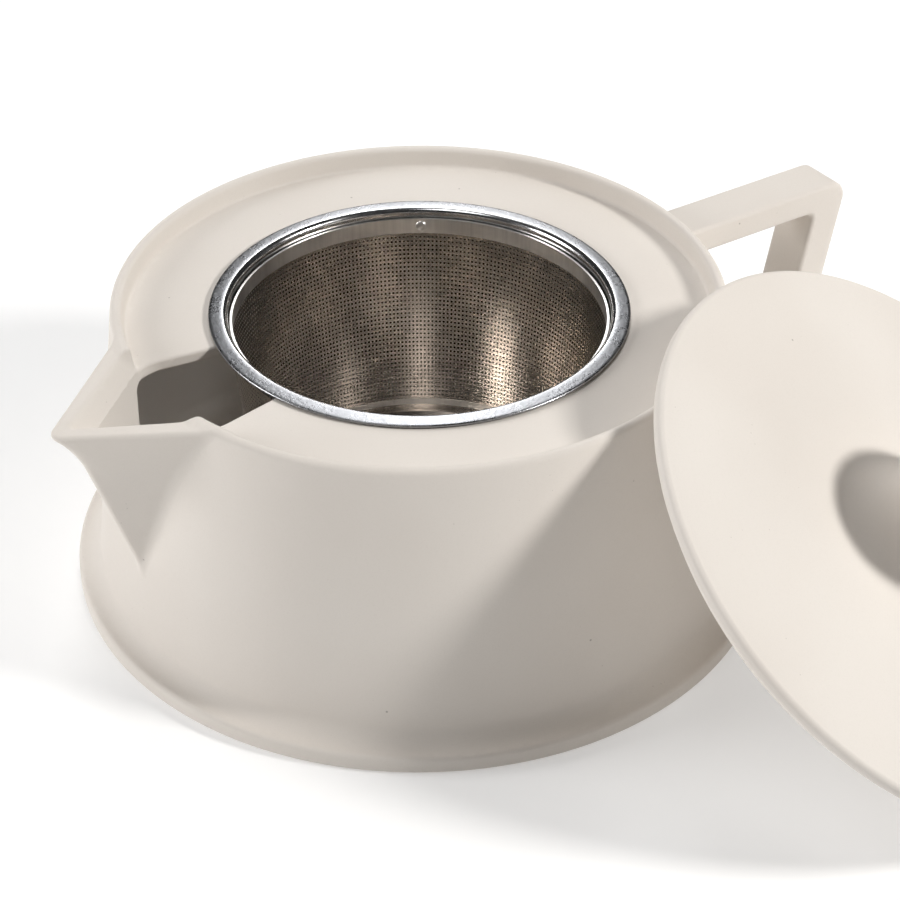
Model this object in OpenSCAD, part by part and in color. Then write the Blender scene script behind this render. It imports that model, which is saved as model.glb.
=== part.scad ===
// Ceramic teapot with a lift-out steel infuser and a leaning lid.
// Millimetres. Origin at the centre of the foot on the table, +Z up,
// spout towards -X, handle towards +X.

/* [Pot] */
// overall height of the pot to the top of the rim
pot_h = 71.5; // [60:0.1:90]
// outer radius of the foot flange
foot_r = 82.5; // [70:0.1:95]
// thickness of the foot flange
flange_h = 4.4; // [3:0.1:8]
// outer radius of the wall where it meets the flange
wall_foot_r = 77.4; // [65:0.1:90]
// outer radius of the raised rim
rim_r = 69.9; // [55:0.1:85]
// width of the raised rim
rim_w = 2.6; // [2:0.1:6]
// height of the recessed deck
deck_z = 66.6; // [50:0.1:85]
// thickness of the deck
deck_t = 3.0; // [2:0.1:6]
// wall thickness of the pot, measured level
wall_t = 3.4; // [3:0.1:7]
// thickness of the pot floor
floor_t = 5.0; // [3:0.1:9]
// radius of the infuser hole in the deck
hole_r = 44.9; // [35:0.1:55]
// radius of the cove between the flange and the wall
cove_r = 4.2; // [1:0.1:5]

/* [Spout] */
// reach of the spout tip from the pot axis
tip_x = 93.2; // [80:0.1:110]
// height of the spout tip
tip_z = 68.0; // [55:0.1:85]
// half angle of the lips seen from above
lip_angle = 34; // [20:0.5:50]
// half angle of the spout faces seen from above
face_angle = 38.5; // [20:0.5:50]
// reach of the keel under the beak
keel_x = 86.6; // [75:0.1:100]
// height of the keel point under the beak
keel_z = 57.8; // [45:0.1:70]
// level run of the keel for each millimetre of fall
keel_run = 0.335; // [0.1:0.001:0.8]
// level run of the beak for each millimetre of fall
beak_run = 1.0; // [0.3:0.01:1.2]
// reach of the inner corner of the pour slot
slot_x = 84.0; // [70:0.1:100]
// reach of the pour slot's inner edge at the lip
lip_in_x = 88.6; // [75:0.1:100]
// half angle of the pour slot's upper faces seen from above
upper_angle = 32; // [20:0.5:50]
// level run of the pour slot's upper faces for each millimetre of fall
upper_run = 1.184; // [0.5:0.001:2]
// half width of the pour slot at the rim
slot_rim_w = 15.5; // [8:0.1:20]
// half width of the pour slot at the infuser hole
slot_in_w = 11.0; // [8:0.1:20]

/* [Handle] */
// height of the top face of the handle
handle_top = 65.0; // [50:0.1:80]
// height of the underside of the lower bar
handle_low = 12.5; // [8:0.1:30]
// reach of the sharp outer top corner
handle_x = 125.5; // [100:0.1:150]
// thickness of the level bars
bar_t = 7.0; // [5:0.1:12]
// thickness of the outer arm, measured level
arm_t = 11.0; // [5:0.1:14]
// width of the strap
strap_w = 12.6; // [8:0.1:20]
// level run of the outer arm for each millimetre of fall
arm_run = 0.212; // [0:0.001:0.5]
// radius of the outer corners
corner_out = 5.0; // [1:0.1:10]
// radius of the inner corners
corner_in = 3.2; // [1:0.1:8]

/* [Lid] */
// radius of the lid plate
lid_r = 68.6; // [60:0.1:80]
// thickness of the lid plate
lid_t = 3.2; // [2:0.1:6]
// radius of the locating step under the lid
step_r = 65.2; // [50:0.1:75]
// depth of the locating step
step_h = 3.0; // [1:0.1:6]
// lean of the lid from level, degrees
lid_lean = 36; // [0:0.5:80]
// direction the lid leans out to, degrees from +X
lid_dir = -60; // [-180:1:180]
// gap left between the lid and the rim it leans on
lid_gap = 0.3; // [0.1:0.1:1]
// radius of the top of the knob
knob_r = 18.0; // [8:0.1:25]
// height of the knob over the lid
knob_h = 16.5; // [8:0.1:30]
// radius of the waist of the knob
waist_r = 10.5; // [5:0.1:15]
// radius of the hollow curve from the lid up to the waist
foot_curve = 13.0; // [4:0.1:16]
// radius of the hollow curve from the waist out to the top
head_curve = 1.0; // [1:0.1:6]

/* [Infuser] */
// outer radius of the flange
flange_r = 48.0; // [40:0.1:60]
// gap between the flange and the deck
seat_gap = 0.3; // [0.1:0.1:1]
// thickness of the folded flange
hem_t = 1.0; // [0.8:0.1:2]
// thickness of the flange sheet
sheet_t = 0.5; // [0.3:0.1:1]
// thickness of the perforated sheet
mesh_t = 0.4; // [0.2:0.1:1]
// outer radius of the sleeve at the top
sleeve_top_r = 43.6; // [35:0.1:50]
// outer radius of the sleeve at the bottom
sleeve_low_r = 39.0; // [30:0.1:50]
// height of the underside of the infuser
basket_z = 11.1; // [7:0.1:40]
// height of the plain collar
collar_h = 3.9; // [2:0.1:8]
// height of the hoop round the bottom
hoop_h = 4.0; // [2:0.1:10]

/* [Hidden] */
$fn = 120;
stone = [0.86, 0.83, 0.79];
steel = [0.72, 0.72, 0.73];
big = 300;
far_out = 150;
crest_r = rim_w / 2;
crest_x = rim_r - crest_r;
crest_z = pot_h - crest_r;
wall_run = (wall_foot_r - rim_r) / (crest_z - flange_h);
slant = norm([1, wall_run]);
cove_x = wall_foot_r - wall_run * cove_r + cove_r * slant;
cove_z = flange_h + cove_r;
edge_r = 0.9;
recess_r = rim_r - rim_w - 0.4;
deck_low = deck_z - deck_t;
top_run = 0.116;
chan_z = deck_low + 0.6;
slot_top = pot_h + 10;
slot_mid = 64;
slot_end = hole_r - 6;
slot_flare = (slot_rim_w - slot_in_w) / (slot_mid - slot_end) * (far_out - slot_mid);
chan_in = 60;
chan_angle = 35;
spout_box = 80;
over = 1;
bar_start = 50;
floor_bevel = [1.5, 2];
hem_run = 1.2;
corner_steps = 10;
knob_edge = 1.5;
knob_trim = 0.8;
lid_edge = 1.2;
bend_r = 1.4;
skirt_low = 62.4;
collar_top = 65.5;
sleeve_top = 65.0;
sleeve_bend = 61.6;
hoop_t = 0.5;
hoop_lip = 2.0;
flange_low = deck_z + seat_gap;
flange_top = flange_low + hem_t;

function wall_r(z) = wall_foot_r - wall_run * (z - flange_h);

// a half space under the plane through p with the outward normal n
module under(p, n) {
    translate(p) rotate([0, acos(n[2] / norm(n)), atan2(n[1], n[0])])
        translate([-far_out, -far_out, -big]) cube(big);
}

// outside of the pot, from the table to the rim
module pot_outline() {
    difference() {
        union() {
            translate([0, edge_r]) square([foot_r, flange_h - 2 * edge_r]);
            square([foot_r - edge_r, flange_h]);
            translate([foot_r - edge_r, edge_r]) circle(edge_r);
            translate([foot_r - edge_r, flange_h - edge_r]) circle(edge_r);
            polygon([[0, 0], [wall_foot_r, 0], [wall_foot_r, flange_h],
                     [rim_r, crest_z], [crest_x, crest_z], [0, crest_z]]);
            polygon([[cove_x - cove_r / slant, cove_z - wall_run * cove_r / slant], [wall_foot_r - over, flange_h - over],
                     [cove_x, flange_h - over], [cove_x, flange_h]]);
            translate([crest_x, crest_z]) circle(crest_r);
        }
        translate([cove_x, cove_z]) circle(cove_r);
        translate([-big, -over]) square([big, big]);
    }
}

// the solid envelope that the spout and handle are cut back to
module pot_envelope() {
    rotate_extrude() pot_outline();
    cylinder(h = slot_top, r = crest_x);
}

// two upright faces that meet in a keel, reaching x at height z
module keel(x, z, run, angle) {
    intersection() {
        under([-x, 0, z], [-sin(angle), cos(angle), -run * sin(angle)]);
        under([-x, 0, z], [-sin(angle), -cos(angle), -run * sin(angle)]);
    }
}

// the V channel and the slot over it
module pour_channel() {
    intersection() {
        translate([0, 0, flange_h]) linear_extrude(slot_top - flange_h)
            polygon([[-far_out, slot_rim_w + slot_flare], [-slot_end, slot_in_w],
                     [-slot_end, -slot_in_w], [-far_out, -slot_rim_w - slot_flare]]);
        union() {
            keel(lip_in_x, tip_z, upper_run, upper_angle);
            keel(slot_x, chan_z, keel_run, chan_angle);
        }
    }
}

module pot_body() {
    color(stone) difference() {
        rotate_extrude() difference() {
            pot_outline();
            polygon([[-over, floor_t], [wall_r(floor_t) - wall_t - floor_bevel[0], floor_t],
                     [wall_r(floor_t + floor_bevel[1]) - wall_t, floor_t + floor_bevel[1]],
                     [wall_r(deck_low) - wall_t, deck_low], [-over, deck_low]]);
            translate([-over, floor_t]) square([hole_r + over, pot_h]);
            polygon([[0, deck_z], [recess_r, deck_z], [rim_r - rim_w, crest_z], [rim_r - rim_w, pot_h], [0, pot_h]]);
        }
        pour_channel();
    }
}

module spout() {
    color(stone) difference() {
        intersection() {
            union() {
                keel(keel_x, keel_z, keel_run, face_angle);
                keel(tip_x, tip_z, beak_run, lip_angle);
            }
            under([-tip_x, 0, tip_z], [-top_run, 0, 1]);
            translate([-far_out, -spout_box / 2, flange_h]) cube([far_out - chan_in, spout_box, spout_box]);
        }
        pot_envelope();
        pour_channel();
    }
}

// points of a rounded corner at c between its neighbours a and b
function unit(v) = v / norm(v);
function corner(c, a, b, r) =
    let (h = acos(unit(a - c) * unit(b - c)) / 2, m = c + unit(unit(a - c) + unit(b - c)) * r / sin(h),
         p = c + unit(a - c) * r / tan(h) - m, turn = sign(cross(a - c, b - c)) * (180 - 2 * h))
    [for (i = [0:corner_steps]) let (t = -turn * i / corner_steps)
        m + [p[0] * cos(t) - p[1] * sin(t), p[0] * sin(t) + p[1] * cos(t)]];

// a four sided outline with its second and third corners rounded
module loop4(p, r) {
    polygon(concat([p[0]], corner(p[1], p[0], p[2], r), corner(p[2], p[1], p[3], r), [p[3]]));
}

module handle() {
    drop = handle_top - handle_low;
    color(stone) difference() {
        translate([0, strap_w / 2, 0]) rotate([90, 0, 0]) linear_extrude(strap_w) difference() {
            loop4([[bar_start, handle_top], [handle_x, handle_top],
                   [handle_x - arm_run * drop, handle_low], [bar_start, handle_low]], corner_out);
            loop4([[bar_start - over, handle_top - bar_t],
                   [handle_x - arm_t - arm_run * bar_t, handle_top - bar_t],
                   [handle_x - arm_t - arm_run * (drop - bar_t), handle_low + bar_t],
                   [bar_start - over, handle_low + bar_t]], corner_in);
        }
        pot_envelope();
    }
}

// the lid stands on its edge on the table and leans on the rim
lean_d = sin(lid_lean) * crest_x + cos(lid_lean) * crest_z + crest_r + lid_gap + step_h;
lid_z = (lid_r - lid_edge) * sin(lid_lean) - lid_edge * cos(lid_lean) + lid_edge;
lid_x = (lean_d - cos(lid_lean) * lid_z) / sin(lid_lean);

module lid_place() {
    rotate([0, 0, lid_dir]) translate([lid_x, 0, lid_z]) rotate([0, lid_lean, 0]) children();
}

module lid_plate() {
    color(stone) lid_place() rotate_extrude() difference() {
        union() {
            square([lid_r - lid_edge, lid_t]);
            translate([0, lid_edge]) square([lid_r, lid_t - 2 * lid_edge]);
            translate([lid_r - lid_edge, lid_edge]) circle(lid_edge);
            translate([lid_r - lid_edge, lid_t - lid_edge]) circle(lid_edge);
            translate([0, -step_h]) square([step_r, step_h + over]);
        }
        translate([-big, -far_out]) square([big, big]);
    }
}

module lid_knob() {
    color(stone) lid_place() translate([0, 0, lid_t]) rotate_extrude() difference() {
        union() {
            difference() {
                square([waist_r + foot_curve - knob_trim, foot_curve]);
                translate([waist_r + foot_curve, foot_curve]) circle(foot_curve);
            }
            difference() {
                translate([0, foot_curve]) square([waist_r + head_curve, head_curve]);
                translate([waist_r + head_curve, foot_curve]) circle(head_curve);
            }
            translate([0, foot_curve + head_curve]) square([knob_r - knob_edge, knob_h - foot_curve - head_curve]);
            translate([knob_r - knob_edge, knob_h - knob_edge]) circle(knob_edge);
        }
        translate([-big, -far_out]) square([big, big]);
    }
}

module infuser_rim() {
    bend_x = sleeve_top_r + bend_r;
    bend_z = flange_top - bend_r;
    color(steel) rotate_extrude() union() {
        difference() {
            translate([bend_x, bend_z]) circle(bend_r);
            translate([bend_x, bend_z]) circle(bend_r - sheet_t);
            translate([bend_x, bend_z - bend_r - over]) square(2 * (bend_r + over));
            translate([bend_x - bend_r - over, bend_z - 2 * bend_r - over]) square(2 * bend_r + over);
        }
        translate([sleeve_top_r, skirt_low]) square([sheet_t, bend_z - skirt_low]);
        translate([bend_x, flange_top - sheet_t]) square([flange_r - hem_t / 2 - bend_x, sheet_t]);
        translate([bend_x + hem_run, flange_low]) square([flange_r - hem_t / 2 - bend_x - hem_run, hem_t]);
        translate([flange_r - hem_t / 2, flange_low + hem_t / 2]) circle(hem_t / 2);
    }
}

module infuser_collar() {
    inner = sleeve_top_r - mesh_t - sheet_t;
    color(steel) rotate_extrude() translate([inner, collar_top - collar_h]) square([sheet_t, collar_h]);
}

module infuser_wall() {
    foot = basket_z + hoop_t;
    color(steel) rotate_extrude()
        polygon([[sleeve_top_r, sleeve_top], [sleeve_top_r, sleeve_bend], [sleeve_low_r, foot + hoop_h],
                 [sleeve_low_r, foot], [sleeve_low_r - mesh_t, foot], [sleeve_low_r - mesh_t, foot + hoop_h],
                 [sleeve_top_r - mesh_t, sleeve_bend], [sleeve_top_r - mesh_t, sleeve_top]]);
}

module infuser_floor() {
    color(steel) translate([0, 0, basket_z + hoop_t]) cylinder(h = mesh_t, r = sleeve_low_r - mesh_t);
}

module infuser_base_hoop() {
    color(steel) rotate_extrude() union() {
        translate([sleeve_low_r, basket_z]) square([hoop_t, hoop_h + hoop_t]);
        translate([sleeve_low_r - hoop_lip, basket_z]) square([hoop_lip, hoop_t]);
    }
}

pot_body();
spout();
handle();
lid_plate();
lid_knob();
infuser_rim();
infuser_collar();
infuser_wall();
infuser_floor();
infuser_base_hoop();
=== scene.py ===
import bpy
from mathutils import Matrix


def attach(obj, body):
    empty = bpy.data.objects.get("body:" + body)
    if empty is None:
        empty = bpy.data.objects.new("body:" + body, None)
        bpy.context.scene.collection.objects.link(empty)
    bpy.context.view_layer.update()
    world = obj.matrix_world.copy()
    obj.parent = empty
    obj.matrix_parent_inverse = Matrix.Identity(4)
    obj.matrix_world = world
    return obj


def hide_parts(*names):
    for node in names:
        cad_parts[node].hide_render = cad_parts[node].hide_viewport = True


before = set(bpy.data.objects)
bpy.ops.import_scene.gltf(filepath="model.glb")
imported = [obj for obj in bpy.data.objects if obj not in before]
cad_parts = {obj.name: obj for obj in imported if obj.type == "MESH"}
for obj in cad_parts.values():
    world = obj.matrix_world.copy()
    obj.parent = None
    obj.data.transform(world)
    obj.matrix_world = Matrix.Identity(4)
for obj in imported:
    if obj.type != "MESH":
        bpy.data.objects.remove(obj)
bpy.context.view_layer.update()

import math

import bmesh
import bpy
import numpy as np
from mathutils import Matrix, Vector

scene = bpy.context.scene
scene.view_settings.view_transform = "Standard"
scene.view_settings.look = "None"

# ---------------------------------------------------------------- sizes, mm
POT_H, FOOT_R, FLANGE_H, WALL_FOOT_R, RIM_R = 71.5, 82.5, 4.4, 77.4, 69.9
CREST_Z, DECK_Z, DECK_T, WALL_T, FLOOR_T = 70.2, 66.6, 3.0, 3.4, 5.0
WALL_RUN = (WALL_FOOT_R - RIM_R) / (CREST_Z - FLANGE_H)
SLANT = math.hypot(1, WALL_RUN)
HOLE_R, RECESS_R = 44.9, 66.8
# keels of the spout and the pour slot: reach from the axis, height there, run for each
# millimetre of fall, half angle seen from above, rounding
TIP_X, TIP_Z, LIP_SLOPE, LIP_NORM = 93.2, 68.0, 0.116, 1.0067
SPOUT_KEEL = (87.3, 57.8, 0.335, 38.5, 2.2)
BEAK_KEEL = (95.8, TIP_Z, 1.0, 34.0, 3.6)
SLOT_UPPER = (88.9, TIP_Z, 1.184, 32.0, 1.2)
SLOT_LOWER = (84.0, 64.0, 0.335, 35.0, 1.6)
SPOUT_ROOT, SLOT_END, SLOT_LOW = 58.0, 39.0, 7.0
SLOT_HALF_W, SLOT_MID, SLOT_FLARE, SLOT_NORM = 15.5, 64.0, 0.18, 1.016
HANDLE_TOP, HANDLE_LOW, HANDLE_X, TOP_FALL, TOP_FROM = 65.0, 12.5, 125.2, 0.015, 70.0
GAP_DROP, GAP_LOW, GAP_X, GAP_Z = 6.8, 19.5, 114.4, 58.0
ARM_RUN, ARM_NORM, STRAP_HALF_W, HANDLE_ROOT = 0.212, 1.022, 6.3, 62.0
LID_R, LID_T, STEP_R, STEP_H, LID_LEAN, LID_DIR = 68.6, 3.2, 65.2, 3.0, 36.0, -60.0
KNOB_WAIST, KNOB_CURVE, HEAD_CURVE, KNOB_R, KNOB_H = 10.5, 13.0, 1.0, 18.0, 16.5
FLANGE_R, FLANGE_LOW, HEM, SHEET_T, MESH_T, BEND_R = 48.0, 66.9, 1.0, 0.5, 0.4, 1.4
SLEEVE_R, SLEEVE_LOW_R, SLEEVE_TOP, SLEEVE_BEND, SLEEVE_FOOT = 43.6, 39.0, 65.0, 61.6, 11.6
SKIRT_LOW, COLLAR_LOW, COLLAR_H, BASKET_LOW, HOOP_TOP = 62.4, 61.6, 3.9, 11.1, 15.5
HOLE_D, COLUMNS, ROW_PITCH, FLOOR_PITCH = 0.52, 272, 1.15, 1.05


# ---------------------------------------------------------------- node materials
class Nodes:
    """A small builder for one material's nodes."""

    def __init__(self, name):
        self.mat = bpy.data.materials.new(name)
        self.mat.use_nodes = True
        self.t = self.mat.node_tree
        self.t.nodes.clear()
        self.out = self.new("ShaderNodeOutputMaterial")
        self.bsdf = self.new("ShaderNodeBsdfPrincipled")
        self.t.links.new(self.bsdf.outputs[0], self.out.inputs[0])
        self.coord = self.new("ShaderNodeTexCoord").outputs["Object"]

    def new(self, kind, **props):
        n = self.t.nodes.new(kind)
        for k, v in props.items():
            setattr(n, k, v)
        return n

    def link(self, a, b):
        self.t.links.new(a, b)

    def noise(self, scale, detail=3.0, rough=0.5, stretch=None):
        n = self.new("ShaderNodeTexNoise")
        n.inputs["Scale"].default_value = scale
        n.inputs["Detail"].default_value = detail
        n.inputs["Roughness"].default_value = rough
        v = self.coord
        if stretch:
            m = self.new("ShaderNodeMapping")
            m.inputs["Scale"].default_value = stretch
            self.link(v, m.inputs["Vector"])
            v = m.outputs[0]
        self.link(v, n.inputs["Vector"])
        return n.outputs["Fac"]

    def voronoi(self, scale):
        n = self.new("ShaderNodeTexVoronoi")
        n.inputs["Scale"].default_value = scale
        self.link(self.coord, n.inputs["Vector"])
        return n.outputs["Distance"]

    def ramp(self, fac, stops):
        n = self.new("ShaderNodeValToRGB")
        e = n.color_ramp.elements
        while len(e) < len(stops):
            e.new(0.5)
        for s, (pos, col) in zip(e, stops):
            s.position = pos
            s.color = (col, col, col, 1) if isinstance(col, (int, float)) else (*col, 1)
        self.link(fac, n.inputs[0])
        return n.outputs[0]

    def mix(self, fac, a, b):
        n = self.new("ShaderNodeMix", data_type="RGBA")
        for value, i in ((fac, 0), (a, 6), (b, 7)):
            if hasattr(value, "links"):
                self.link(value, n.inputs[i])
            elif i == 0:
                n.inputs[0].default_value = value
            else:
                n.inputs[i].default_value = (*value, 1)
        return n.outputs[2]

    def math(self, op, a, b):
        n = self.new("ShaderNodeMath", operation=op)
        for i, value in enumerate((a, b)):
            if hasattr(value, "links"):
                self.link(value, n.inputs[i])
            else:
                n.inputs[i].default_value = value
        return n.outputs[0]

    def bump(self, height, strength, distance):
        n = self.new("ShaderNodeBump")
        n.inputs["Strength"].default_value = strength
        n.inputs["Distance"].default_value = distance
        self.link(height, n.inputs["Height"])
        return n.outputs[0]

    def set(self, name, value):
        s = self.bsdf.inputs[name]
        if hasattr(value, "links"):
            self.link(value, s)
        else:
            s.default_value = value


def make_stoneware():
    """Unglazed matt stoneware: soft cloud, fine grain, sparse flecks, and pinholes with painted shade in
    their centres.
    """
    m = Nodes("stoneware_matt")
    cloud = m.ramp(m.noise(22, 2), [(0.3, (0.700, 0.650, 0.598)), (0.7, (0.735, 0.690, 0.640))])
    grain = m.noise(2600, 2, 0.6)
    tint = m.mix(m.math("MULTIPLY", m.math("SUBTRACT", grain, 0.5), 0.35), cloud, (0.50, 0.46, 0.42))
    fleck = m.ramp(m.voronoi(420), [(0.045, 1.0), (0.075, 0.0)])
    pick = m.ramp(m.noise(95, 1), [(0.60, 0.0), (0.66, 1.0)])
    col = m.mix(m.math("MULTIPLY", m.math("MULTIPLY", fleck, pick), 0.35), tint, (0.33, 0.29, 0.26))
    # pinholes: painted shade darkens each one's centre in the colour, and the same mask sinks it a little
    # by bump
    pinhole_dip_and_shade = m.ramp(m.voronoi(88), [(0.016, 1.0), (0.028, 0.0)])
    m.set("Base Color", m.mix(m.math("MULTIPLY", pinhole_dip_and_shade, 0.55), col, (0.20, 0.17, 0.15)))
    m.set("Roughness", m.ramp(m.noise(900, 2), [(0.3, 0.62), (0.7, 0.8)]))
    m.set("Specular IOR Level", 0.35)
    fine = m.math("MULTIPLY", m.noise(5200, 2, 0.6), 0.6)
    coarse = m.math("MULTIPLY", m.noise(1300, 3), 0.5)
    height = m.math("SUBTRACT", m.math("ADD", fine, coarse), m.math("MULTIPLY", pinhole_dip_and_shade, 1.5))
    m.set("Normal", m.bump(height, 0.22, 0.00012))
    return m.mat


def darker(colour, share):
    return [c * share for c in colour]


def make_steel(name, colour, rough, streak=0.0, mottle=0.0):
    """Stainless sheet with a faint cloud, and upright brushed streaks or a mottled rolled skin."""
    m = Nodes(name)
    base = m.mix(m.noise(60, 2), darker(colour, 0.93), colour)
    m.set("Metallic", 1.0)
    m.set("Roughness", m.ramp(m.noise(300, 3, 0.6), [(0.3, rough - 0.03), (0.7, rough + 0.05)]))
    if streak:
        fine = m.noise(900, 2, 0.6, stretch=(1.0, 1.0, 0.02))
        wide = m.noise(110, 2, 0.6, stretch=(1.0, 1.0, 0.02))
        both = m.math("ADD", m.math("MULTIPLY", fine, 0.45), m.math("MULTIPLY", wide, 0.55))
        line = m.ramp(both, [(0.36, 0.0), (0.64, 1.0)])
        base = m.mix(m.math("MULTIPLY", line, streak), base, darker(colour, 0.55))
    if mottle:
        blot = m.ramp(m.noise(900, 3, 0.75), [(0.42, 0.0), (0.58, 1.0)])
        base = m.mix(m.math("MULTIPLY", blot, 0.35), base, darker(colour, 0.6))
        m.set("Normal", m.bump(m.noise(1100, 3, 0.7), mottle, 0.00012))
    m.set("Base Color", base)
    return m.mat


STONE = make_stoneware()
FLANGE_STEEL = make_steel("flange_satin_steel", (0.31, 0.315, 0.33), 0.27, mottle=0.5)
LIP_STEEL = make_steel("lip_polished_steel", (0.74, 0.74, 0.75), 0.17)
COLLAR_STEEL = make_steel("collar_steel", (0.97, 0.945, 0.91), 0.33, streak=0.45)
MESH_STEEL = make_steel("perforated_steel", (0.74, 0.69, 0.64), 0.20, streak=0.45)


# ---------------------------------------------------------------- mesh helpers
def new_object(name, verts, faces, mats, normals=None, face_mat=None, smooth=True, crease=None):
    """A mesh object from points in mm and faces. normals are one a point, and crease is
    the angle in degrees from which shading is split."""
    me = bpy.data.meshes.new(name)
    me.from_pydata((np.asarray(verts, float) * 0.001).tolist(), [], faces)
    for m in mats:
        me.materials.append(m)
    me.polygons.foreach_set("use_smooth", [smooth] * len(me.polygons))
    if face_mat is not None:
        me.polygons.foreach_set("material_index", face_mat)
    me.update()
    if normals is not None:
        me.normals_split_custom_set_from_vertices([tuple(n) for n in normals])
    if crease:
        me.set_sharp_from_angle(angle=math.radians(crease))
    ob = bpy.data.objects.new(name, me)
    scene.collection.objects.link(ob)
    return ob


def lathe(profile, segments, place=None):
    """Points, quads and each quad's place in a closed profile of (r, z) turned about Z.
    Points on the axis stay single."""
    verts, rings = [], []
    for r, z in profile:
        if r < 1e-6:
            rings.append([len(verts)] * segments)
            verts.append((0.0, 0.0, z))
        else:
            rings.append(list(range(len(verts), len(verts) + segments)))
            for i in range(segments):
                a = 2 * math.pi * i / segments
                verts.append((r * math.cos(a), r * math.sin(a), z))
    faces, owner = [], []
    for a in range(len(rings)):
        b = (a + 1) % len(rings)
        for i in range(segments):
            j = (i + 1) % segments
            q = [rings[a][i], rings[a][j], rings[b][j], rings[b][i]]
            q = [v for k, v in enumerate(q) if v != q[k - 1]]
            if len(q) > 2:
                faces.append(q)
                owner.append(a)
    verts = np.array(verts)
    if place is not None:
        verts = (np.array(place.to_3x3()) @ verts.T).T + np.array(place.translation)
    return verts, faces, owner


def arc(cx, cz, r, a0, a1, n):
    """n + 1 points round (cx, cz), from a0 to a1 degrees."""
    return [(cx + r * math.cos(math.radians(a0 + (a1 - a0) * i / n)),
             cz + r * math.sin(math.radians(a0 + (a1 - a0) * i / n))) for i in range(n + 1)]


def unit(rows):
    return rows / np.maximum(np.linalg.norm(rows, axis=1, keepdims=True), 1e-9)


# ---------------------------------------------------------------- the pot, as a field
def join_r(a, b, r):
    """Union of two distances, with a fillet of radius r."""
    return np.maximum(r, np.minimum(a, b)) - np.hypot(np.maximum(r - a, 0), np.maximum(r - b, 0))


def meet_r(a, b, r):
    """Intersection of two distances, with the edge rounded to r."""
    return np.minimum(-r, np.maximum(a, b)) + np.hypot(np.maximum(r + a, 0), np.maximum(r + b, 0))


def vee(x, y, z, reach, at, run, angle, r):
    """Two upright faces that meet in a keel at -reach at height at."""
    s, c = math.sin(math.radians(angle)), math.cos(math.radians(angle))
    n = math.hypot(1, run * s)
    along = -s * (x + reach + run * (z - at))
    return meet_r((along + c * y) / n, (along - c * y) / n, r)


def spout_field(x, y, z):
    """A keel, a short beak that curls out, and a sloping lip."""
    sides = join_r(vee(x, y, z, *SPOUT_KEEL), vee(x, y, z, *BEAK_KEEL), 2.5)
    lip = (z - TIP_Z - LIP_SLOPE * (x + TIP_X)) / LIP_NORM
    return np.maximum(meet_r(sides, lip, 1.6), x + SPOUT_ROOT)


def handle_field(x, y, z):
    """A flat strap bent round a loop."""
    top = HANDLE_TOP - TOP_FALL * (x - TOP_FROM)
    arm = (x - (HANDLE_X - ARM_RUN * (HANDLE_TOP - z))) / ARM_NORM
    arm_in = (x - (GAP_X - ARM_RUN * (GAP_Z - z))) / ARM_NORM
    loop = meet_r(meet_r(z - top, arm, 5.5), HANDLE_LOW - z, 5.0)
    gap = meet_r(meet_r(z - top + GAP_DROP, arm_in, 2.4), GAP_LOW - z, 3.2)
    strap = meet_r(meet_r(loop, -gap, 0.9), np.abs(y) - STRAP_HALF_W, 1.1)
    return np.maximum(strap, HANDLE_ROOT - x)


def slot_field(x, y, z):
    """The pour slot in the deck and the V under it."""
    sides = (SLOT_FLARE * (x + SLOT_MID) + np.abs(y) - SLOT_HALF_W) / SLOT_NORM
    slot = meet_r(np.minimum(vee(x, y, z, *SLOT_UPPER), vee(x, y, z, *SLOT_LOWER)), sides, 2.5)
    return np.maximum(np.maximum(slot, x + SLOT_END), SLOT_LOW - z)


def pot_field(p):
    """About the distance in mm to the fired casting of pot, spout and handle, negative inside."""
    x, y, z = p[:, 0], p[:, 1], p[:, 2]
    r = np.hypot(x, y)
    wall = (r - (WALL_FOOT_R - WALL_RUN * (z - FLANGE_H))) / SLANT
    body = meet_r(wall, z - POT_H, 1.25)
    foot = meet_r(r - FOOT_R, z - FLANGE_H, 1.1)
    solid = join_r(body, foot, 4.2)
    solid = join_r(solid, spout_field(x, y, z), 1.3)
    solid = join_r(solid, handle_field(x, y, z), 1.6)
    solid = meet_r(solid, -z, 0.9)
    recess = meet_r(r - (RECESS_R + 0.12 * (z - DECK_Z)), DECK_Z - z, 0.7)
    solid = meet_r(solid, -recess, 1.15)
    cave = meet_r(meet_r(wall + WALL_T, z - (DECK_Z - DECK_T), 1.5), FLOOR_T - z, 5.0)
    hollow = join_r(cave, np.maximum(r - HOLE_R, 55 - z), 0.8)
    solid = meet_r(solid, -hollow, 0.8)
    return meet_r(solid, -slot_field(x, y, z), 0.75)


def slope_of(f, p, e=0.02):
    """Gradient of a field at each point."""
    g = np.empty_like(p)
    for k in range(3):
        d = np.zeros(3)
        d[k] = e
        g[:, k] = (f(p + d) - f(p - d)) / (2 * e)
    return g


def to_surface(f, p, steps):
    """Moves points along the slope of a field to its zero."""
    for _ in range(steps):
        g = slope_of(f, p)
        n2 = np.maximum((g * g).sum(1), 0.05)
        step = (f(p) / n2)[:, None] * g
        length = np.linalg.norm(step, axis=1, keepdims=True)
        p = p - step * np.minimum(1, 0.8 / np.maximum(length, 1e-9))
    return p


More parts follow.
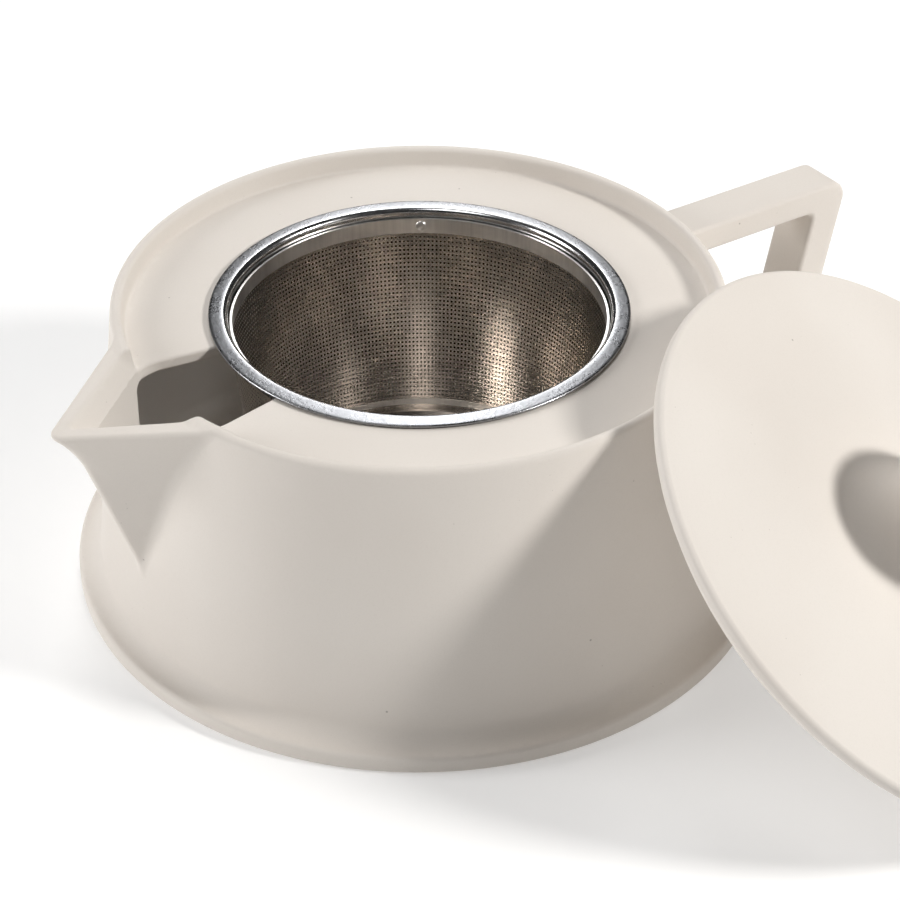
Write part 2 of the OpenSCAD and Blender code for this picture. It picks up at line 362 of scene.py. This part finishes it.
def surface_net(f, lo, hi, h):
    """Points and quads round the zero of a field, one point in each cell that it crosses."""
    axes = [np.arange(a, b + h, h) for a, b in zip(lo, hi)]
    nx, ny, nz = map(len, axes)
    v = np.empty((nx, ny, nz))
    gy, gz = np.meshgrid(axes[1], axes[2], indexing="ij")
    for i, xv in enumerate(axes[0]):
        p = np.stack([np.full(gy.size, xv), gy.ravel(), gz.ravel()], 1)
        v[i] = f(p).reshape(ny, nz)
    neg = v < 0
    count = sum(neg[i:nx - 1 + i, j:ny - 1 + j, k:nz - 1 + k].astype(np.int8)
                for i in (0, 1) for j in (0, 1) for k in (0, 1))
    cells = np.argwhere((count > 0) & (count < 8))
    index = -np.ones((nx - 1, ny - 1, nz - 1), int)
    index[tuple(cells.T)] = np.arange(len(cells))
    total, hits = np.zeros((len(cells), 3)), np.zeros(len(cells))
    corners = [(i, j, k) for i in (0, 1) for j in (0, 1) for k in (0, 1)]
    for a in corners:
        for k in range(3):
            if a[k]:
                continue
            b = tuple(1 if m == k else a[m] for m in range(3))
            va = v[tuple((cells + a).T)]
            vb = v[tuple((cells + b).T)]
            on = (va < 0) != (vb < 0)
            t = np.where(on, va / np.where(on, va - vb, 1), 0)
            point = np.array(a) + t[:, None] * (np.array(b) - np.array(a))
            total += point * on[:, None]
            hits += on
    pts = (cells + total / hits[:, None]) * h + np.array([a[0] for a in axes])
    quads = []
    for k in range(3):
        u, w = (k + 1) % 3, (k + 2) % 3
        lower = [slice(None)] * 3
        upper = [slice(None)] * 3
        lower[k], upper[k] = slice(0, -1), slice(1, None)
        a, b = neg[tuple(lower)], neg[tuple(upper)]
        e = np.argwhere(a != b)
        inside = a[tuple(e.T)]
        ok = (e[:, u] > 0) & (e[:, w] > 0) & (e[:, u] < v.shape[u] - 1) & (e[:, w] < v.shape[w] - 1)
        e, inside = e[ok], inside[ok]
        ring = []
        for du, dw in ((-1, -1), (0, -1), (0, 0), (-1, 0)):
            c = e.copy()
            c[:, u] += du
            c[:, w] += dw
            ring.append(index[tuple(c.T)])
        q = np.stack(ring, 1)
        q[~inside] = q[~inside][:, ::-1]
        quads.append(q)
    return pts, np.concatenate(quads)


def edges_of(quads):
    """Each edge of the quads once, as a pair of point numbers."""
    e = np.concatenate([quads[:, [i, (i + 1) % quads.shape[1]]] for i in range(quads.shape[1])])
    return np.unique(np.sort(e, 1), axis=0)


def relax(f, p, edges, rounds):
    """Evens out the points along the surface."""
    for _ in range(rounds):
        n = unit(slope_of(f, p))
        s, c = np.zeros_like(p), np.zeros(len(p))
        for i, j in ((0, 1), (1, 0)):
            for k in range(3):
                s[:, k] += np.bincount(edges[:, i], p[edges[:, j], k], len(p))
            c += np.bincount(edges[:, i], minlength=len(p))
        d = s / c[:, None] - p
        d -= (d * n).sum(1, keepdims=True) * n
        p = to_surface(f, p + 0.5 * d, 2)
    return p


def points_of(bm):
    bm.verts.index_update()
    return np.array([v.co for v in bm.verts])


def refine(bm, limit, least):
    """Cuts edges longer than least across which the surface turns by more than limit."""
    co = points_of(bm)
    n = unit(slope_of(pot_field, co))
    e = np.array([(d.verts[0].index, d.verts[1].index) for d in bm.edges])
    bend = (n[e[:, 0]] * n[e[:, 1]]).sum(1)
    size = np.linalg.norm(co[e[:, 0]] - co[e[:, 1]], axis=1)
    pick = (bend < math.cos(limit)) & (size > least)
    bm.edges.ensure_lookup_table()
    bmesh.ops.subdivide_edges(bm, edges=[bm.edges[i] for i in np.flatnonzero(pick)],
                              cuts=1, use_grid_fill=True, use_single_edge=True)
    for v, c in zip(bm.verts, to_surface(pot_field, points_of(bm), 3)):
        v.co = c


def build_pot():
    """Points, faces and normals of the casting's surface, finer where it turns."""
    h = 1.75
    p, q = surface_net(pot_field, (-98, -85, -2.6), (128, 85, 74), h)
    p = to_surface(pot_field, p, 5)
    p = relax(pot_field, p, edges_of(q), 3)
    bm = bmesh.new()
    vs = [bm.verts.new(c) for c in p]
    for a in q:
        bm.faces.new([vs[i] for i in a])
    for limit, least in ((0.30, 0.9), (0.26, 0.45), (0.24, 0.22)):
        refine(bm, limit, least)
    bmesh.ops.triangulate(bm, faces=[g for g in bm.faces if len(g.verts) > 4])
    co = points_of(bm)
    faces = [[v.index for v in g.verts] for g in bm.faces]
    bm.free()
    return co, faces, unit(slope_of(pot_field, co))


co, faces, nor = build_pot()
pot = new_object("pot_casting", co, faces, [STONE], normals=nor)
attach(pot, "pot")
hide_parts("pot_body", "spout", "handle")

# ---------------------------------------------------------------- the lid and its knob
SEAM_R, PLATE_EDGE, STEP_EDGE, STEP_COVE = 30.0, 1.2, 0.8, 0.5
CREST_R, LEAN_GAP, TOP_FLAT = 1.3, 0.3, 8.0


def lid_place():
    """The lid stands on its edge on the table and leans on the pot's rim."""
    lean = math.radians(LID_LEAN)
    sin, cos = math.sin(lean), math.cos(lean)
    reach = sin * (RIM_R - CREST_R) + cos * CREST_Z + CREST_R + LEAN_GAP + STEP_H
    height = (LID_R - PLATE_EDGE) * sin - PLATE_EDGE * cos + PLATE_EDGE
    shift = Matrix.Translation(((reach - cos * height) / sin, 0, height))
    return Matrix.Rotation(math.radians(LID_DIR), 4, "Z") @ shift @ Matrix.Rotation(lean, 4, "Y")


def plate_profile():
    """The disc with its locating step, out from the seam round the knob's root."""
    step_x, top_x = STEP_R - STEP_EDGE, LID_R - TOP_FLAT
    p = [(SEAM_R + (step_x - SEAM_R) * i / 4, -STEP_H) for i in range(5)]
    p += arc(step_x, -STEP_H + STEP_EDGE, STEP_EDGE, -90, 0, 6)[1:] + [(STEP_R, -STEP_COVE)]
    p += arc(STEP_R + STEP_COVE, -STEP_COVE, STEP_COVE, 180, 90, 4)[1:]
    p += [(LID_R - 1.4, 0.0)] + arc(LID_R - PLATE_EDGE, PLATE_EDGE, PLATE_EDGE, -90, 0, 8)[1:]
    p += arc(LID_R - PLATE_EDGE, LID_T - PLATE_EDGE, PLATE_EDGE, 0, 90, 8)
    return p + [(top_x - (top_x - SEAM_R) * i / 6, LID_T) for i in range(7)]


def knob_profile():
    """The spool and the middle of the disc under it."""
    edge, neck, top = 1.4, LID_T + KNOB_CURVE, LID_T + KNOB_H
    head = neck + HEAD_CURVE
    p = [(0.0, -STEP_H), (SEAM_R / 2, -STEP_H), (SEAM_R, -STEP_H), (SEAM_R, LID_T)]
    p += [(KNOB_WAIST + KNOB_CURVE + 2, LID_T)]
    p += arc(KNOB_WAIST + KNOB_CURVE, neck, KNOB_CURVE, 270, 180, 16)
    p += arc(KNOB_WAIST + HEAD_CURVE, neck, HEAD_CURVE, 180, 90, 6)[1:]
    p += [(KNOB_R - 2.0, head)] + arc(KNOB_R - edge, head + edge, edge, -90, 0, 6)[1:]
    return p + arc(KNOB_R - edge, top - edge, edge, 0, 90, 6) + [(KNOB_R - 6, top), (0.0, top)]


for name, profile, node in (("lid_plate_disc", plate_profile(), "lid_plate"),
                            ("lid_knob_spool", knob_profile(), "lid_knob")):
    v, f, _ = lathe(profile, 320, lid_place())
    ob = new_object(name, v, f, [STONE], crease=50)
    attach(ob, "lid")
    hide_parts(node)


# ---------------------------------------------------------------- the infuser
def rim_profile():
    """The folded flange: skirt, bend, gently falling top, rounded hem and the sheet back."""
    top, hem_r, skirt_straight, back = FLANGE_LOW + HEM, 0.39, 1.7, 1.4
    bend_x, bend_z = SLEEVE_R + BEND_R, top - BEND_R
    p = [(SLEEVE_R, SKIRT_LOW), (SLEEVE_R, SKIRT_LOW + skirt_straight)]
    p += arc(bend_x, bend_z, BEND_R, 180, 90, 10)
    p += [(FLANGE_R - run, top - drop) for run, drop in ((2.4, 0.03), (1.6, 0.10), (0.8, 0.17))]
    p += arc(FLANGE_R - hem_r, FLANGE_LOW + hem_r, hem_r, 80, -90, 10)
    p += [(bend_x + back, FLANGE_LOW), (bend_x + back, FLANGE_LOW + 0.45)]
    p += [(bend_x + back - 1.0, FLANGE_LOW + 0.55)]
    return p + arc(bend_x, bend_z, BEND_R - SHEET_T, 90, 180, 8) + [(SLEEVE_R + SHEET_T, SKIRT_LOW)]


LIP_ROWS = 11
v, f, row = lathe(rim_profile(), 320)
ob = new_object("infuser_rim_fold", v, f, [FLANGE_STEEL, LIP_STEEL],
                face_mat=[int(k < LIP_ROWS) for k in row], crease=35)
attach(ob, "infuser")
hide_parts("infuser_rim")


def weld_mark(wall_r):
    """The spot weld that closes the collar: a low round bead on its inner face."""
    angle, height, radius, rise, root = math.radians(56), 63.6, 1.3, 0.45, 0.1
    bend = [math.radians(15 * k) for k in range(6)]
    dome = [(radius * math.cos(a), rise * math.sin(a)) for a in bend]
    verts, faces, _ = lathe([(0.0, -root), (radius, -root)] + dome + [(0.0, rise)], 24)
    c, s = math.cos(angle), math.sin(angle)
    return [(c * (wall_r - z) + s * x, s * (wall_r - z) - c * x, height + y) for x, y, z in verts], faces


def build_collar():
    inner = SLEEVE_R - MESH_T - SHEET_T
    profile = [(inner, COLLAR_LOW + COLLAR_H * i / 4) for i in range(5)]
    profile += [(inner + SHEET_T, COLLAR_LOW + COLLAR_H), (inner + SHEET_T, COLLAR_LOW)]
    verts, faces, _ = lathe(profile, 320)
    mark, mark_faces = weld_mark(inner)
    faces += [[k + len(verts) for k in face] for face in mark_faces]
    return np.vstack([verts, mark]), faces


v, f = build_collar()
ob = new_object("infuser_collar_band", v, f, [COLLAR_STEEL], crease=35)
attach(ob, "infuser")
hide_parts("infuser_collar")


def holed_cell(c, base):
    """Faces from a cell's four corners to its eight-sided hole, whose points start at base."""
    faces = []
    for s in range(4):
        faces.append([c[s], c[(s + 1) % 4], base + 2 * s + 1, base + 2 * s])
        faces.append([c[(s + 1) % 4], base + (2 * s + 2) % 8, base + 2 * s + 1])
    return faces


HOLE = [(HOLE_D / 2 * math.cos(math.radians(a)), HOLE_D / 2 * math.sin(math.radians(a)))
        for a in (45 * m - 112.5 for m in range(8))]


def sleeve_r(z):
    """Middle of the sleeve's sheet at a height: straight at the top, then a cone."""
    fall = max(0.0, (SLEEVE_BEND - z) / (SLEEVE_BEND - SLEEVE_FOOT))
    return SLEEVE_R - MESH_T / 2 + (SLEEVE_LOW_R - SLEEVE_R) * fall


def on_sleeve(column, z):
    a = 2 * math.pi * column / COLUMNS
    return (sleeve_r(z) * math.cos(a), sleeve_r(z) * math.sin(a), z)


def build_sleeve():
    """One thin sheet with real holes: plain rows at the top and foot, a hole in each cell between."""
    first_row, plain_foot = 60.8, 3.2
    rows = [SLEEVE_TOP, first_row]
    while rows[-1] - ROW_PITCH > SLEEVE_FOOT + plain_foot:
        rows.append(rows[-1] - ROW_PITCH)
    rows = [SLEEVE_FOOT] + rows[::-1]
    verts = [on_sleeve(i, z) for z in rows for i in range(COLUMNS)]
    faces = []
    for k in range(len(rows) - 1):
        mid = (rows[k] + rows[k + 1]) / 2
        pitch = 2 * math.pi * sleeve_r(mid) / COLUMNS
        for i in range(COLUMNS):
            low, high, j = k * COLUMNS, (k + 1) * COLUMNS, (i + 1) % COLUMNS
            c = [low + i, low + j, high + j, high + i]
            if k in (0, len(rows) - 2):
                faces.append(c)
                continue
            faces += holed_cell(c, len(verts))
            verts += [on_sleeve(i + 0.5 + x / pitch, mid + y) for x, y in HOLE]
    return np.array(verts), faces


v, f = build_sleeve()
CONE_FALL = -0.09
n = unit(v * (1, 1, 0))
n[:, 2] = CONE_FALL
ob = new_object("infuser_wall_mesh", v, f, [MESH_STEEL], normals=unit(n))
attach(ob, "infuser")
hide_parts("infuser_wall")


def build_basket_floor():
    """A flat grid of holed cells, with plain cells at its edge and a ring that closes it to the sleeve."""
    z, grid_r, holes_r = 11.8, 37.6, 36.4
    verts, faces, seen = [], [], {}

    def corner(i, j):
        if (i, j) not in seen:
            seen[i, j] = len(verts)
            verts.append((i * FLOOR_PITCH, j * FLOOR_PITCH, z))
        return seen[i, j]

    span = int(grid_r / FLOOR_PITCH) + 1
    for i in range(-span, span):
        for j in range(-span, span):
            reach = FLOOR_PITCH * max(math.hypot(a, b) for a in (i, i + 1) for b in (j, j + 1))
            if reach > grid_r:
                continue
            c = [corner(i, j), corner(i + 1, j), corner(i + 1, j + 1), corner(i, j + 1)]
            if reach > holes_r:
                faces.append(c)
                continue
            faces += holed_cell(c, len(verts))
            verts += [((i + 0.5) * FLOOR_PITCH + x, (j + 0.5) * FLOOR_PITCH + y, z) for x, y in HOLE]
    inside, outside, high, low = 36.2, 38.8, z - 0.12, z - 0.2
    ring, ring_faces, _ = lathe([(inside, high), (outside, high), (outside, low), (inside, low)], 192)
    faces += [[k + len(verts) for k in face] for face in ring_faces]
    return verts + [tuple(c) for c in ring], faces


v, f = build_basket_floor()
ob = new_object("infuser_floor_mesh", v, f, [MESH_STEEL], smooth=False)
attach(ob, "infuser")
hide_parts("infuser_floor")


def hoop_profile():
    """A band round the foot of the sleeve, with a lip turned in under the floor."""
    thick, turn, ease, lip = 0.4, 0.5, 0.3, 2.0
    inner, outer, low = SLEEVE_LOW_R, SLEEVE_LOW_R + thick, BASKET_LOW
    p = [(inner - lip, low), (outer - turn - 0.1, low)]
    p += arc(outer - turn, low + turn, turn, -70, 0, 5)
    p += [(outer, HOOP_TOP - ease), (outer - 0.1, HOOP_TOP)]
    p += [(inner + 0.05, HOOP_TOP), (inner, HOOP_TOP - ease)]
    return p + [(inner, low + 0.6), (inner - thick, low + thick), (inner - lip, low + thick)]


v, f, _ = lathe(hoop_profile(), 256)
ob = new_object("infuser_base_band", v, f, [COLLAR_STEEL], crease=35)
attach(ob, "infuser")
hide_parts("infuser_base_hoop")


# ---------------------------------------------------------------- floor, metres from here on
def make_floor_material():
    """White, and glowing a little more away from the object, where the lights no longer reach."""
    m = Nodes("pale_floor")
    m.set("Base Color", m.ramp(m.noise(3, 2), [(0.3, (0.73, 0.73, 0.73)), (0.7, (0.75, 0.75, 0.75))]))
    m.set("Roughness", 0.9)
    m.set("Emission Color", (1, 1, 1, 1))
    out = m.new("ShaderNodeVectorMath", operation="LENGTH")
    m.link(m.coord, out.inputs[0])
    m.set("Emission Strength", m.ramp(out.outputs["Value"], [(0.35, 0.30), (1.0, 0.92)]))
    return m.mat


def make_floor():
    bm = bmesh.new()
    bmesh.ops.create_grid(bm, x_segments=8, y_segments=8, size=4.0)
    me = bpy.data.meshes.new("floor")
    bm.to_mesh(me)
    bm.free()
    me.materials.append(make_floor_material())
    floor = bpy.data.objects.new("floor", me)
    floor.location = (0, 0, -0.0004)
    scene.collection.objects.link(floor)
    return floor


floor = make_floor()

# ---------------------------------------------------------------- light and camera
CAM_AT = Vector((-0.25496, -0.38743, 0.35783))
CAM_DIR = Vector((0.4577, 0.6734, -0.5806))
RIGHT = Vector((0.8271, -0.5621, 0.0))
AHEAD = Vector((0.5621, 0.8271, 0.0))
UP = Vector((0, 0, 1))
LIGHT_AIM, LIGHT_AWAY = Vector((0.0, 0.0, 0.04)), 1.3


def toward(azimuth, elevation):
    """A direction from the pot: azimuth 0 is the camera's side, 90 its right."""
    a, e = math.radians(azimuth), math.radians(elevation)
    return RIGHT * math.sin(a) * math.cos(e) - AHEAD * math.cos(a) * math.cos(e) + UP * math.sin(e)


def area(name, azimuth, elevation, size, watts, colour=(1, 1, 1), tall=None):
    """A disk light, or a card of that width when it is tall."""
    data = bpy.data.lights.new(name, "AREA")
    data.shape = "RECTANGLE" if tall else "DISK"
    data.size = size
    if tall:
        data.size_y = tall
    data.energy = watts
    data.color = colour
    ob = bpy.data.objects.new(name, data)
    d = toward(azimuth, elevation).normalized()
    ob.location = LIGHT_AIM + d * LIGHT_AWAY
    ob.rotation_mode = "QUATERNION"
    ob.rotation_quaternion = d.to_track_quat("Z", "Y")
    scene.collection.objects.link(ob)


area("key", 73, 34, 0.24, 13.0, (1.0, 0.985, 0.96))
area("low_fill", 274, 20, 0.6, 10.0, (1.0, 0.99, 0.98))
area("front_fill", 330, 60, 0.6, 2.4)
area("overhead", 200, 72, 0.6, 2.2)
area("back_card", 180, 42, 0.34, 5.7, tall=1.1)


def make_world():
    """A faint even light, and a pale backdrop behind the floor's edge that lights nothing."""
    world = bpy.data.worlds.new("soft_studio")
    world.use_nodes = True
    tree = world.node_tree
    light = tree.nodes["Background"]
    backdrop = tree.nodes.new("ShaderNodeBackground")
    for background, strength in ((light, 0.02), (backdrop, 0.95)):
        background.inputs["Color"].default_value = (1.0, 1.0, 1.0, 1)
        background.inputs["Strength"].default_value = strength
    mix = tree.nodes.new("ShaderNodeMixShader")
    tree.links.new(tree.nodes.new("ShaderNodeLightPath").outputs["Is Camera Ray"], mix.inputs[0])
    tree.links.new(light.outputs[0], mix.inputs[1])
    tree.links.new(backdrop.outputs[0], mix.inputs[2])
    tree.links.new(mix.outputs[0], tree.nodes["World Output"].inputs[0])
    return world


def make_camera():
    data = bpy.data.cameras.new("camera")
    data.sensor_fit = "HORIZONTAL"
    data.sensor_width = 36.0
    data.lens = 96.0
    data.clip_start, data.clip_end = 0.01, 50
    camera = bpy.data.objects.new("camera", data)
    camera.location = CAM_AT
    camera.rotation_mode = "QUATERNION"
    camera.rotation_quaternion = CAM_DIR.to_track_quat("-Z", "Y")
    scene.collection.objects.link(camera)
    return camera


scene.world = make_world()
scene.camera = make_camera()

bpy.context.view_layer.update()
